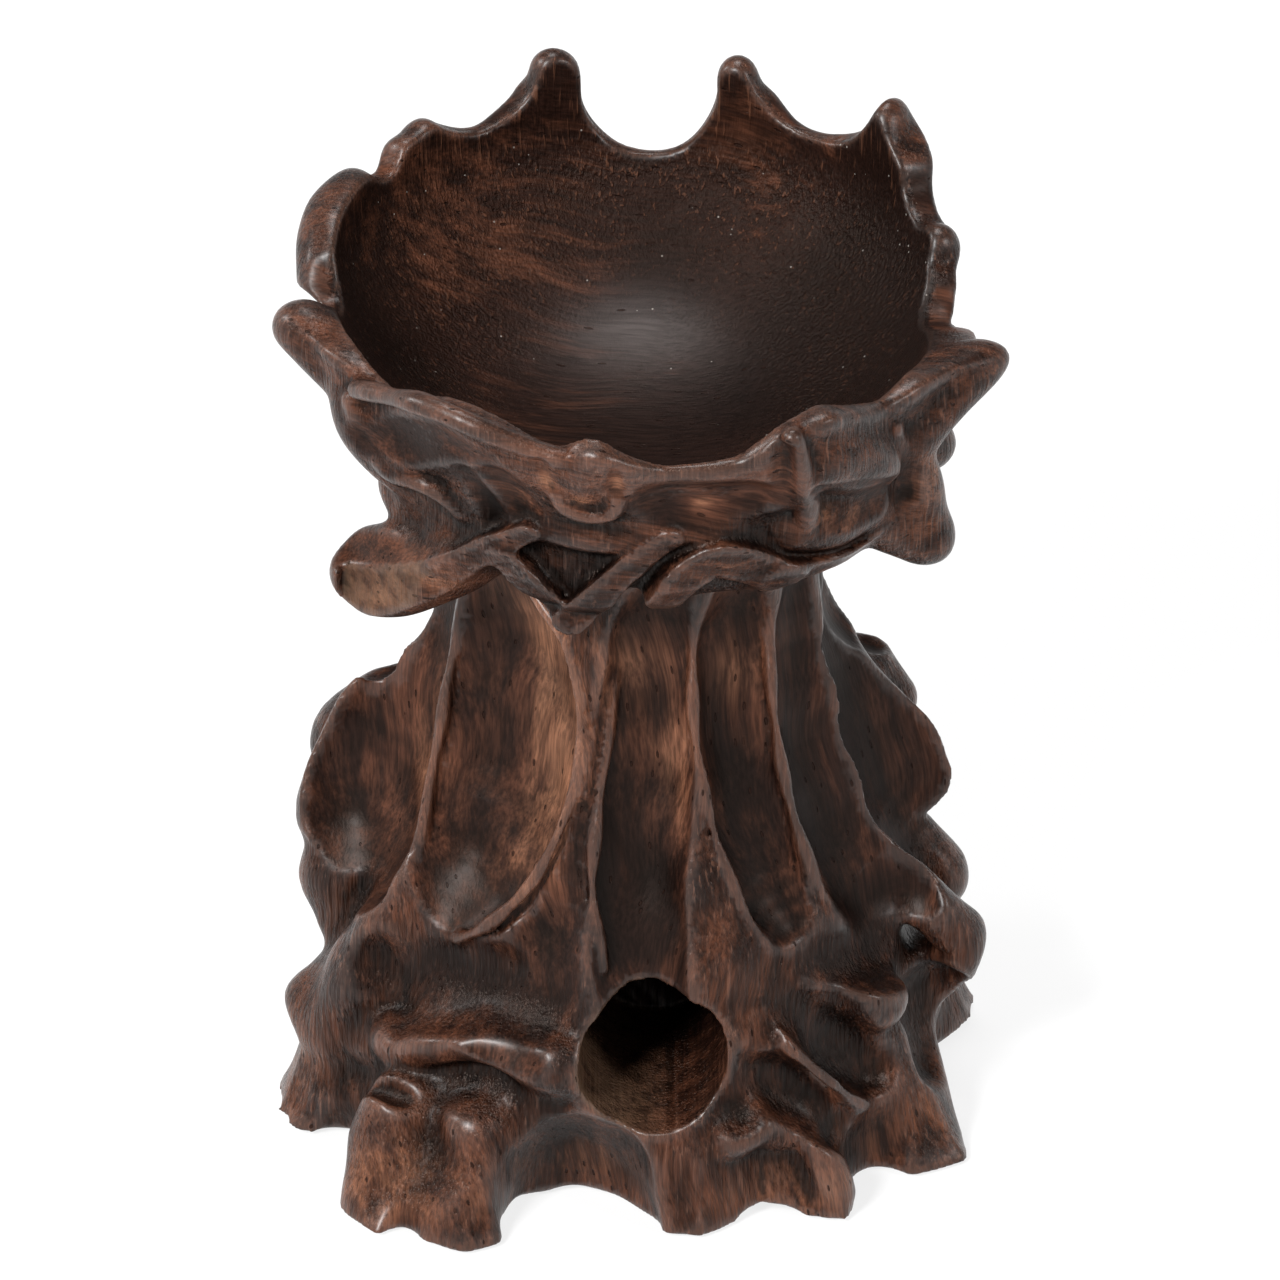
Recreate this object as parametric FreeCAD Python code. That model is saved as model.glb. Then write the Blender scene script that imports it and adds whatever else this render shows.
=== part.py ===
import FreeCAD, Part
import math
import os

# Carved root-wood incense burner: a scalloped bowl on a turned tenon, glued into a fluted trunk
# that spreads into knuckled roots. The roots stand on felt feet and hold a drilled socket.
# Millimetres and degrees. Z is the turning axis, the table is at height zero, the socket opens to -Y.
# Angles run anticlockwise from +X, seen from above.

# Height of the bowl's brim, and the spans stacked below it; the trunk takes what is left
brim_height = 90.0
felt_proud = 0.4
toe_span = 8.0
root_span = 18.0
shoulder_span = 20.0
floor_thickness = 5.0
brim_rise = 15.0

# Pedestal radii at the joins between the spans
ground_radius = 29.5
toe_top_radius = 30.5
root_top_radius = 28.0
shoulder_top_radius = 23.5
seat_radius = 20.5

# Toes: angle, reach beyond the ground radius, depth of the hollow that follows the toe
toes = (
    (17, 6.5, -3.5),
    (31, 5.0, 1.0),
    (58, 4.5, 0.5),
    (90, 4.0, 0.5),
    (124, 5.0, 0.5),
    (158, 6.5, -3.5),
    (194, 8.0, -2.5),
    (223, 11.5, -9.0),
    (240, 9.5, 8.0),
    (280, 2.6, 0.5),
    (306, 5.2, -1.8),
    (331, 8.0, -0.5),
)
toe_hollow_shape = 1.7

# Root knuckles and dips: angle, share of the height up to the shoulder, reach, half width in degrees, half height
knuckles = (
    (8, 0.80, 6.8, 8, 7),
    (8, 1.30, -3.0, 9, 10),
    (6, 0.47, 4.8, 8, 5),
    (22, 0.88, 7.5, 8, 6),
    (16, 0.19, 1.2, 9, 6),
    (340, 0.56, 5.5, 5, 6),
    (343, 0.46, 5.5, 5.5, 5),
    (337, 0.30, -3.5, 6, 7),
    (352, 0.52, -3.0, 6, 6),
    (170, 0.80, 10.5, 8, 8),
    (178, 1.30, -1.4, 10, 9),
    (181, 0.80, 8.0, 6, 9),
    (185, 0.55, 5.0, 8, 5),
    (174, 0.42, -2.5, 12, 5),
    (191, 0.28, 5.5, 9, 5),
    (203, 0.40, 4.5, 7, 8),
    (216, 0.48, -2.6, 8, 4),
    (48, 0.43, 4.0, 10, 5),
    (63, 0.78, 3.5, 7, 5),
    (92, 0.58, 4.5, 10, 5),
    (123, 0.80, 3.5, 7, 5),
    (136, 0.45, 4.0, 10, 5),
    (155, 0.59, 4.5, 9, 5),
    (33, 0.63, 3.2, 9, 5),
    (270, 0.62, -1.8, 6, 6),
    (230, 0.36, 2.2, 20, 5),
    (229, 0.22, -4.2, 18, 4),
    (234, 0.46, -2.2, 18, 4),
    (302, 0.28, -1.6, 6, 4),
    (316, 0.32, -2.4, 8, 5),
    (326, 0.44, 2.4, 7, 4),
    (294, 0.22, 2.4, 8, 4),
)

# Trunk ribs: angle at the roots, half way and at the neck, depth of the flute that follows the rib
ribs = (
    (7, 5, 4, 3.8),
    (36, 36, 35, 4.4),
    (66, 66, 66, 4.4),
    (96, 96, 96, 4.4),
    (126, 126, 125, 4.4),
    (155, 154, 153, 4.0),
    (184, 181, 178, 4.4),
    (214, 209, 203, 7.4),
    (230, 254, 244, 1.4),
    (262, 259, 262, 5.0),
    (299, 285, 287, 5.0),
    (319, 309, 311, 4.6),
    (341, 332, 333, 5.8),
)
flute_shape = 2.6
flute_run = 0.3
flute_fade = 0.3

# Socket drilled level into the roots
socket_radius = 7.4
socket_sill = 3.7
socket_offset = 1.3
socket_floor_radius = 8.0

# Bowl, hollowed to half an ellipse with a plumb brim
bowl_radius = 30.2
bowl_depth = 20.0
rim_wall = 2.4
rim_lip = 4.0
waist_cut = 5.2
waist_rise = 8.0

# Crown points: angle, reach beyond the bowl, rise above the brim, rise of the scallop that follows, how much of
# that scallop is cut
crown_points = (
    (21, 3.0, 1.6, 1.6, 1.0),
    (40, 7.6, 12.2, 3.6, 1.0),
    (72, 6.0, 11.6, -0.6, 1.0),
    (106, 5.4, 12.0, 4.2, 1.0),
    (134, 5.6, 8.2, 3.4, 1.0),
    (154, 6.4, 5.0, 4.4, 0.0),
    (171, 5.8, 3.8, -1.4, 1.0),
    (190, 8.2, 4.0, -0.6, 1.0),
    (236, 4.0, 5.6, 0.0, 1.0),
    (263, 3.6, 3.4, -1.6, 1.0),
    (305, 4.2, 4.4, -2.6, 1.0),
    (346, 8.8, 1.6, -3.6, 1.0),
)
scallop_shape = 2.1
scallop_wall = 1.0
wall_at_mouth = 1.8
wall_at_floor = 5.4

# Collar points under the bowl: angle, reach beyond the seat, drop below the seat, share of the web above the
# point, share of the hollow that follows it
collar_points = (
    (15, 13.0, 4.4, 0.2, 1.0),
    (60, 12.5, 4.0, 0.0, 1.0),
    (105, 13.0, 4.4, 0.3, 1.0),
    (150, 13.0, 4.0, 0.0, 1.0),
    (205, 12.2, 7.2, 0.2, 0.0),
    (221, 9.0, 3.2, 0.6, 0.0),
    (236, 6.5, -2.0, 0.8, 0.6),
    (253, 4.8, 6.5, 0.0, 0.8),
    (284, 5.0, -4.0, 0.6, 0.8),
    (310, 5.6, -0.6, 0.7, 0.5),
    (338, 13.6, 3.6, 0.9, 1.0),
)
collar_reach = 3.0
collar_rise = 1.6
collar_thickness = 3.0
collar_hollow_shape = 2.2
throat_share = 0.4

# Tenon turned on the bowl's block, and its mortise in the trunk
tenon_radius = 9.0
tenon_length = 16.0
tenon_clearance = 0.1
mortise_gap = 0.5

# Felt feet in shallow recesses
felt_radius = 3.5
felt_recess = 0.8
felt_inset = 3.5
felt_angles = (24, 92, 160, 231, 319)
felt_clearance = 0.15

# Poles round each carved ring
ring_poles = 144

# Heights worked out from the spans
ground_height = felt_proud
toe_top = ground_height + toe_span
root_top = toe_top + root_span
shoulder_top = root_top + shoulder_span
floor_height = brim_height - brim_rise
seat_height = floor_height - floor_thickness
mouth_height = floor_height + bowl_depth
socket_height = toe_top + socket_sill + socket_radius


def blend(first, second, share):
    return first + (second - first) * share


def bowed(start, middle, end, share):
    """A value on the curve through three values, a half apart."""
    return blend(blend(start, middle, 2.0 * share), blend(middle, end, 2.0 * share - 1.0), share)


def swing(angle, centre):
    return abs((angle - centre + 180.0) % 360.0 - 180.0)


def crest(share, shape):
    """One at both ends of a gap and zero in its middle."""
    return abs(2.0 * share - 1.0) ** shape


def between(rows, angle):
    """The rows on either side of an angle, and how far the angle is from the first to the second."""
    last = min(rows, key=lambda row: (angle - row[0]) % 360.0)
    following = rows[(rows.index(last) + 1) % len(rows)]
    way = ((angle - last[0]) % 360.0) / ((following[0] - last[0]) % 360.0)
    return last, following, way


def ring_of_poles(edge):
    """Poles round the axis, at the radius and height that edge gives for each angle."""
    poles = []
    for step in range(ring_poles):
        angle = 360.0 * step / ring_poles
        radius, height = edge(angle)
        turn = math.radians(angle)
        poles.append(FreeCAD.Vector(radius * math.cos(turn), radius * math.sin(turn), height))
    return poles


def carved_solid(edges):
    """A solid with one smooth skin drawn by rings of poles, closed by a flat face at each end."""
    rings = [ring_of_poles(edge) for edge in edges]
    last = len(rings) - 3
    skin = Part.BSplineSurface()
    skin.buildFromPolesMultsKnots(
        [list(column) for column in zip(*rings)],
        [1] * (ring_poles + 1),
        [4] + [1] * (last - 1) + [4],
        [float(knot) for knot in range(ring_poles + 1)],
        [float(knot) for knot in range(last + 1)],
        True,
        False,
        3,
        3,
    )
    ends = [Part.Face(Part.Wire([skin.vIso(float(v)).toShape()])) for v in (0, last)]
    shell = Part.makeShell([skin.toShape()] + ends)
    shell.sewShape()
    return Part.makeSolid(shell)


def upright(radius, bottom, length, place=(0.0, 0.0)):
    return Part.makeCylinder(radius, length, FreeCAD.Vector(place[0], place[1], bottom))


# Root pedestal


def core_radius(height):
    joins = (
        (ground_height, ground_radius),
        (toe_top, toe_top_radius),
        (root_top, root_top_radius),
        (shoulder_top, shoulder_top_radius),
        (seat_height, seat_radius),
    )
    for (low, low_radius), (high, high_radius) in zip(joins, joins[1:]):
        if height < high:
            return blend(low_radius, high_radius, (height - low) / (high - low))
    return seat_radius


def toe_reach(angle, height):
    toe, following, way = between(toes, angle)
    tip = blend(toe[1], following[1], way)
    fade = max(0.0, (root_top - height) / (root_top - ground_height)) ** 1.5
    return fade * blend(-toe[2], tip, crest(way, toe_hollow_shape))


def knuckle_reach(angle, height):
    total = 0.0
    for centre, share, reach, wide, tall in knuckles:
        across = swing(angle, centre) / wide
        along = (height - blend(ground_height, shoulder_top, share)) / tall
        total += reach * math.exp(-(across**2) - along**2)
    return total


def flute_depth(angle, height):
    rise = max(0.0, (height - root_top) / (seat_height - root_top))
    leaning = [(bowed(*rib[:3], rise), rib[3]) for rib in ribs]
    rib, _, way = between(leaning, angle)
    run = min(1.0, rise / flute_run) * (1.0 - flute_fade * rise)
    return rib[1] * run * (1.0 - crest(way, flute_shape))


def pedestal_edge(height):
    def edge(angle):
        carving = toe_reach(angle, height) + knuckle_reach(angle, height) - flute_depth(angle, height)
        return core_radius(height) + carving, height

    return edge


def pedestal_heights():
    heights = [ground_height]
    joins = (ground_height, toe_top, root_top, shoulder_top, seat_height)
    for low, high, steps in zip(joins, joins[1:], (4, 6, 6, 6)):
        heights += [blend(low, high, (step + 1) / steps) for step in range(steps)]
    return heights


def felt_place(angle):
    turn = math.radians(angle)
    return (ground_radius - felt_inset) * math.cos(turn), (ground_radius - felt_inset) * math.sin(turn)


def root_pedestal():
    body = carved_solid([pedestal_edge(height) for height in pedestal_heights()])
    mortise_depth = tenon_length + mortise_gap
    mortise = upright(tenon_radius + tenon_clearance, seat_height - mortise_depth, mortise_depth)
    socket_end = FreeCAD.Vector(socket_offset, -socket_floor_radius, socket_height)
    socket = Part.makeCylinder(socket_radius, 2.0 * ground_radius, socket_end, FreeCAD.Vector(0, -1, 0))
    pocket_radius = felt_radius + felt_clearance
    pockets = [upright(pocket_radius, ground_height, felt_recess, felt_place(a)) for a in felt_angles]
    return body.cut([mortise, socket] + pockets)


# Crown bowl


def horn_share(angle):
    """One on a collar point, and nearer zero the deeper the hollow beside it."""
    point, _, way = between(collar_points, angle)
    return 1.0 - point[4] * (1.0 - crest(way, collar_hollow_shape))


def collar_line(angle):
    """Radius and height of the collar's lower edge."""
    point, following, way = between(collar_points, angle)
    share = horn_share(angle)
    reach = blend(collar_reach, blend(point[1], following[1], way), share)
    drop = blend(-collar_rise, blend(point[2], following[2], way), share)
    return seat_radius + reach, seat_height - drop


def rim_line(angle):
    """Radius and height of the scalloped rim."""
    point, following, way = between(crown_points, angle)
    share = 1.0 - point[4] * (1.0 - crest(way, scallop_shape))
    reach = blend(scallop_wall, blend(point[1], following[1], way), share)
    rise = blend(point[3], blend(point[2], following[2], way), share)
    return bowl_radius + reach, brim_height + rise


def neck(angle):
    return seat_radius, seat_height


def throat(angle):
    radius, height = collar_line(angle)
    middle = blend(seat_height, height, throat_share)
    return blend(seat_radius, radius, throat_share), middle + horn_share(angle) * collar_thickness / 2


def collar_under(angle):
    radius, height = collar_line(angle)
    return radius - collar_thickness / 2, height


def collar_edge(angle):
    radius, height = collar_line(angle)
    return radius + collar_thickness / 4, height + collar_thickness / 4


def collar_top(angle):
    radius, height = collar_line(angle)
    return blend(bowl_radius - waist_cut, radius, 0.7), height + collar_thickness


def web_reach(angle):
    """How far the waist stands out where a web joins a collar point to the bowl."""
    point, following, way = between(collar_points, angle)
    web = blend(point[3], following[3], way) * horn_share(angle)
    return web * max(0.0, collar_line(angle)[0] - bowl_radius + waist_cut)


def waist(angle):
    height = collar_line(angle)[1] + waist_rise
    radius = bowl_radius - waist_cut + web_reach(angle)
    return radius, min(height, rim_line(angle)[1] - 2.0 * rim_lip)


def wall_radius(height):
    """Radius outside the hollow, with a wall that thins from the floor to the mouth."""
    depth = min(1.0, max(0.0, (mouth_height - height) / bowl_depth))
    return bowl_radius * math.sqrt(1.0 - depth**2) + blend(wall_at_mouth, wall_at_floor, depth)


def bowl_wall(angle):
    height = min(brim_height, rim_line(angle)[1]) - 1.5 * rim_lip
    return wall_radius(height) + web_reach(angle) / 3, height


def rim_under(angle):
    radius, height = rim_line(angle)
    return blend(wall_radius(height - rim_lip), radius, 0.4), height - rim_lip


def rim_outer(angle):
    radius, height = rim_line(angle)
    return radius, height - rim_wall / 2


def rim_top(angle):
    radius, height = rim_line(angle)
    return radius - rim_wall / 4, height + rim_wall / 4


def rim_inner(angle):
    return bowl_radius, rim_line(angle)[1] + rim_wall / 4


def brim_inner(angle):
    return bowl_radius - 2.0 * rim_wall, blend(brim_height, rim_line(angle)[1], 0.5)


def brim_cap(angle):
    return bowl_radius / 2, brim_height


def bowl_hollow():
    """Half an ellipse turned about the axis, with a plumb wall above it."""
    top = brim_height + max(point[2] for point in crown_points) + 2.0 * rim_wall
    dome = Part.makeSphere(1.0)
    squash = FreeCAD.Matrix()
    squash.scale(bowl_radius, bowl_radius, bowl_depth)
    squash.move(FreeCAD.Vector(0, 0, mouth_height))
    return dome.transformGeometry(squash).fuse(upright(bowl_radius, mouth_height, top - mouth_height))


def crown_bowl():
    outside = [neck, throat, collar_under, collar_edge, collar_top, waist, bowl_wall]
    rim = [rim_under, rim_outer, rim_top, rim_inner, brim_inner, brim_cap]
    block = carved_solid(outside + rim)
    tenon = upright(tenon_radius, seat_height - tenon_length, tenon_length)
    return block.fuse(tenon).cut(bowl_hollow())


# Felt feet


def felt_foot(angle):
    return upright(felt_radius, 0.0, felt_proud + felt_recess, felt_place(angle))


pieces = {"crown_bowl": crown_bowl(), "root_pedestal": root_pedestal()}
for number, angle in enumerate(felt_angles, 1):
    pieces[f"felt_foot_{number}"] = felt_foot(angle)

os.makedirs("parts", exist_ok=True)
for name, shape in pieces.items():
    print(name, len(shape.Solids), shape.isValid(), round(shape.Volume))
    shape.exportStep(f"parts/{name}.step")
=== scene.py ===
import math
import bpy
import numpy as np
import openvdb
from mathutils import Euler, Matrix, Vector


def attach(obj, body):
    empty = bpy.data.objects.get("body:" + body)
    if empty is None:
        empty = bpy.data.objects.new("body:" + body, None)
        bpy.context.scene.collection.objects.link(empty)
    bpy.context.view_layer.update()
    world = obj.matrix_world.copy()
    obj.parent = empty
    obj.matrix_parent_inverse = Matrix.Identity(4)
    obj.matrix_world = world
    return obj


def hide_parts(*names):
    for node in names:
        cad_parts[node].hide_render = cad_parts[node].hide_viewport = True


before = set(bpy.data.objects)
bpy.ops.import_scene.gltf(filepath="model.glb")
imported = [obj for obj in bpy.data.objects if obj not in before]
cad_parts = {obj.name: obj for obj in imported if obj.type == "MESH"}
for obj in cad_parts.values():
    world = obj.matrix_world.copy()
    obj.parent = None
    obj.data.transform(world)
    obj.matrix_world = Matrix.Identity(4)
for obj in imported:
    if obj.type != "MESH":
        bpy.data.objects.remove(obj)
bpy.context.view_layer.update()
mm = 0.001  # carving sizes are in millimetres and degrees, the scene is in metres
perMm = (1.0 / mm,) * 3
white = (1.0, 1.0, 1.0, 1.0)


# Shorthand for wiring node trees, and for materials and objects


class NodeBench:
    def __init__(self, tree):
        self.nodes, self.links = tree.nodes, tree.links

    def fill(self, node, values):
        for key, value in values.items():
            if isinstance(value, bpy.types.NodeSocket):
                self.links.new(value, node.inputs[key])
            else:
                node.inputs[key].default_value = value
        return node

    def add(self, kind, values=None, **settings):
        node = self.nodes.new("ShaderNode" + kind)
        for key, value in settings.items():
            setattr(node, key, value)
        return self.fill(node, values or {})

    def math(self, operation, a, b=0.0, clamp=False):
        return self.add("Math", {0: a, 1: b}, operation=operation, use_clamp=clamp).outputs[0]

    def plus(self, a, b, clamp=False):
        return self.math("ADD", a, b, clamp)

    def minus(self, a, b, clamp=False):
        return self.math("SUBTRACT", a, b, clamp)

    def times(self, a, b, clamp=False):
        return self.math("MULTIPLY", a, b, clamp)

    def span(self, value, low, high, toLow=0.0, toHigh=1.0):
        values = {"Value": value, "From Min": low, "From Max": high, "To Min": toLow, "To Max": toHigh}
        return self.add("MapRange", values, interpolation_type="SMOOTHSTEP").outputs[0]

    def stretch(self, vector, scale, turn=(0.0, 0.0, 0.0)):
        turned = [math.radians(angle) for angle in turn]
        return self.add("Mapping", {"Vector": vector, "Scale": scale, "Rotation": turned}).outputs[0]

    def noise(self, vector, scale, detail=2.0, rough=0.5):
        values = {"Vector": vector, "Scale": scale, "Detail": detail, "Roughness": rough}
        return self.add("TexNoise", values).outputs["Fac"]

    def blend(self, share, first, second, mode="MIX"):
        node = self.add("Mix", data_type="RGBA", blend_type=mode)
        return self.fill(node, {0: share, 6: first, 7: second}).outputs[2]

    def shade(self, colour, share):
        return self.blend(1.0, colour, share, "MULTIPLY")

    def placeInMm(self):
        return self.stretch(self.add("TexCoord").outputs["Object"], perMm)

    def mark(self, label):
        return self.add("Attribute", attribute_name=label).outputs["Fac"]

    def bump(self, height):
        return self.add("Bump", {"Strength": 1.0, "Distance": mm, "Height": height}).outputs[0]


def newMaterial(name):
    material = bpy.data.materials.new(name)
    material.use_nodes = True
    material.node_tree.nodes.clear()
    return material, NodeBench(material.node_tree)


def addToScene(name, data):
    thing = bpy.data.objects.new(name, data)
    bpy.context.scene.collection.objects.link(thing)
    return thing


# Camera, floor and light

viewSetup = {"tilt": 32.0, "aimHeight": 0.0513, "distance": 0.9, "sensor": 36.0, "lens": 253.1}


def placeCamera(setup):
    camera = addToScene("photoCamera", bpy.data.cameras.new("photoCamera"))
    camera.data.sensor_width = setup["sensor"]
    camera.data.lens = setup["lens"]
    tilt = math.radians(setup["tilt"])
    back = Vector((0.0, -math.cos(tilt), math.sin(tilt)))
    camera.location = Vector((0.0, 0.0, setup["aimHeight"])) + back * setup["distance"]
    camera.rotation_euler = Euler((math.pi / 2 - tilt, 0.0, 0.0))
    bpy.context.scene.camera = camera


studioSetup = {
    "worldLight": 0.08,
    "ceiling": 0.06,  # brightness of the studio above the white backdrop
    "backdropTop": (0.1, 0.45),  # how far up the backdrop is white, and where the ceiling is reached
    "floorSize": 6.0,
    "floorWhite": 0.9,
    "floorShadow": 0.2,  # how much of the floor's own shading is kept under the plain white
    "lampAim": (0.0, 0.0, 0.05),
    "lamps": (  # name, place, size, watts
        ("topSoftbox", (0.0, 0.22, 1.0), 0.4, 6.6),
        ("keySoftbox", (-0.5, -0.8, 0.8), 0.26, 23.0),
        ("sideSoftbox", (0.8, -0.5, 0.55), 0.2, 4.6),
        ("leftSoftbox", (-0.9, 0.1, 0.6), 0.2, 5.6),
    ),
}


def seenRays(bench):
    # one for the camera and for what mirrors or lets through the background
    rays = bench.add("LightPath").outputs
    seen = bench.math("MAXIMUM", rays["Is Camera Ray"], rays["Is Glossy Ray"])
    return bench.math("MAXIMUM", seen, rays["Is Transmission Ray"])


def lightStudio(setup):
    world = bpy.data.worlds.new("whiteStudio")
    world.use_nodes = True
    bpy.context.scene.world = world
    world.node_tree.nodes.clear()
    bench = NodeBench(world.node_tree)
    upward = bench.add("SeparateXYZ", {0: bench.add("TexCoord").outputs["Generated"]}).outputs["Z"]
    whiteEnd, ceilingStart = setup["backdropTop"]
    rise = bench.add("MapRange", {"Value": upward, "From Min": whiteEnd, "From Max": ceilingStart})
    bench.fill(rise, {"To Min": 1.0, "To Max": setup["ceiling"]})
    seen = bench.add("Background", {"Color": white, "Strength": rise.outputs[0]})
    lit = bench.add("Background", {"Color": white, "Strength": setup["worldLight"]})
    mix = bench.add("MixShader", {0: seenRays(bench), 1: lit.outputs[0], 2: seen.outputs[0]})
    bench.add("OutputWorld", {"Surface": mix.outputs[0]})
    for name, place, size, watts in setup["lamps"]:
        lamp = bpy.data.lights.new(name, "AREA")
        lamp.size = size
        lamp.energy = watts
        holder = addToScene(name, lamp)
        holder.location = place
        aim = Vector(setup["lampAim"]) - holder.location
        holder.rotation_euler = aim.to_track_quat("-Z", "Y").to_euler()


def layFloor(setup):
    half = setup["floorSize"] / 2
    corners = [(-half, -half, 0), (half, -half, 0), (half, half, 0), (-half, half, 0)]
    mesh = bpy.data.meshes.new("studioFloor")
    mesh.from_pydata(corners, [], [(0, 1, 2, 3)])
    floor = addToScene("studioFloor", mesh)
    material, bench = newMaterial("paleFloor")
    paint = bench.add("BsdfDiffuse", {"Color": (setup["floorWhite"],) * 3 + (1.0,)})
    plain = bench.add("Emission")
    share = bench.times(seenRays(bench), 1.0 - setup["floorShadow"])
    mix = bench.add("MixShader", {0: share, 1: paint.outputs[0], 2: plain.outputs[0]})
    bench.add("OutputMaterial", {"Surface": mix.outputs[0]})
    mesh.materials.append(material)


placeCamera(viewSetup)
lightStudio(studioSetup)
layFloor(studioSetup)
bpy.context.scene.view_settings.view_transform = "Standard"
print("camera, light and floor placed")


# Carving bench: a block of wood as a grid of distances, negative inside, and the tools that work it

farAway = 99.0
whole = slice(None)  # the span of a whole block
handWaves = (  # along x, y and z, and the shift of each wave
    (0.9, 0.5, 0.3, 0.0), (-0.4, 0.8, 0.5, 1.0), (0.3, -0.6, 0.8, 2.0),
)
markReaches = (("edge", (1, 2, 4)), ("relief", (6, 9, 13)))  # in grid steps


def carveBlock(low, high, step):
    axes = [np.arange(a, b + step, step, dtype=np.float32) for a, b in zip(low, high)]
    shape = tuple(len(axis) for axis in axes)
    x, y, z = np.meshgrid(*axes, indexing="ij", sparse=True)
    block = {"axes": axes, "step": step, "x": x, "y": y, "z": z}
    block["around"] = np.sqrt(x**2 + y**2)
    block["degrees"] = np.degrees(np.arctan2(y, x)) % 360.0
    block["field"] = np.full(shape, step, dtype=np.float32)
    block["polish"] = np.zeros(shape, dtype=np.float32)  # 0 brushed, 1 scraped smooth
    return block


def windowOf(block, low, high):
    spans = []
    for axis, a, b in zip(block["axes"], low, high):
        first = max(0, int(np.searchsorted(axis, a)) - 1)
        last = min(len(axis), int(np.searchsorted(axis, b)) + 1)
        spans.append(slice(first, max(last, first)))
    return tuple(spans)


def gridOf(block, spans):
    return np.meshgrid(*[axis[span] for axis, span in zip(block["axes"], spans)], indexing="ij", sparse=True)


def softJoin(block, spans, distance, blend, polish=0.0, side=1):
    # adds what the distance describes, or cuts it away where side is -1
    old = side * block["field"][spans]
    share = np.clip(0.5 + 0.5 * (old - distance) / blend, 0.0, 1.0)
    block["field"][spans] = side * (old + (distance - old) * share - blend * share * (1.0 - share))
    block["polish"][spans] += (polish - block["polish"][spans]) * share


def softCut(block, spans, distance, blend, polish=1.0):
    softJoin(block, spans, distance, blend, polish, side=-1)


def smoothRows(rows, steps=5):
    # a curve through given rows, whatever their columns mean
    rows = np.array(rows, dtype=float)
    if len(rows) < 3:
        return rows
    ends = np.vstack([2 * rows[0] - rows[1], rows, 2 * rows[-1] - rows[-2]])
    curve = []
    for a, b, c, d in zip(ends, ends[1:], ends[2:], ends[3:]):
        for way in np.arange(steps) / steps:
            bend = 2 * a - 5 * b + 4 * c - d + (3 * b - a - 3 * c + d) * way
            curve.append(b + 0.5 * way * (c - a + way * bend))
    return np.array(curve + [rows[-1]])


def toBeads(rows):
    # angle, radius, height, brush to x, y, z, brush; a long list is a curve already
    rows = smoothRows(rows) if len(rows) < 9 else np.array(rows)
    turn = np.radians(rows[:, 0])
    return np.column_stack([rows[:, 1] * np.cos(turn), rows[:, 1] * np.sin(turn), rows[:, 2], rows[:, 3]])


def strokeDistance(block, rows, reach):
    beads = toBeads(rows)
    spread = beads[:, 3:] + reach
    spans = windowOf(block, (beads[:, :3] - spread).min(axis=0), (beads[:, :3] + spread).max(axis=0))
    x, y, z = gridOf(block, spans)
    nearest = np.full(np.broadcast_shapes(x.shape, y.shape, z.shape), farAway, dtype=np.float32)
    for start, end in zip(beads, beads[1:]):
        run = (end - start).astype(np.float32)
        length = max(float(run[:3] @ run[:3]), 1e-6)
        px, py, pz = x - np.float32(start[0]), y - np.float32(start[1]), z - np.float32(start[2])
        way = np.clip((px * run[0] + py * run[1] + pz * run[2]) / np.float32(length), 0.0, 1.0)
        gap = np.sqrt((px - way * run[0]) ** 2 + (py - way * run[1]) ** 2 + (pz - way * run[2]) ** 2)
        np.minimum(nearest, gap - np.float32(start[3]) - way * run[3], out=nearest)
    return spans, nearest


def addLimb(block, rows, blend=2.0, polish=0.0, side=1):
    spans, distance = strokeDistance(block, rows, blend + 1.0)
    softJoin(block, spans, distance, blend, polish, side)


def cutGouge(block, rows, blend=0.5, polish=1.0):
    addLimb(block, rows, blend, polish, side=-1)


def profileRadius(profile, height):
    heights, radii = zip(*profile)
    return np.interp(height, heights, radii)


def aroundValue(rows, column, degrees):
    rows = np.array(rows)
    return np.interp(degrees, rows[:, 0], rows[:, column], period=360.0)


def turnRows(angle, rows):
    return [(angle + row[0],) + row[1:] for row in rows]


def cutSpoon(block, surface, rows, blend=0.4, polish=1.0, lean=0.0):
    # angle, height, half width, depth become a round gouge held outside the surface,
    # square to it if lean is one
    brushes = []
    for angle, height, halfWidth, depth in smoothRows(rows, 3):
        radius = float(surface(angle, height))
        slope = lean * float(surface(angle, height + 1.0) - surface(angle, height - 1.0)) / 2
        gouge = (halfWidth**2 + depth**2) / (2 * depth)
        inset = radius - math.sqrt(max(radius**2 - halfWidth**2, 1.0)) + depth
        away = (gouge - inset) / math.hypot(1.0, slope)
        brushes.append((angle, radius + away, height - slope * away, gouge))
    cutGouge(block, brushes, blend, polish)


def raiseRidge(block, surface, rows, blend=0.6, polish=0.3):
    # angle, height, brush, rise become a bead that stands that far out of the surface
    beads = []
    for angle, height, brush, rise in smoothRows(rows, 3):
        beads.append((angle, float(surface(angle, height)) + rise - brush, height, brush))
    addLimb(block, beads, blend, polish)


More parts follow.
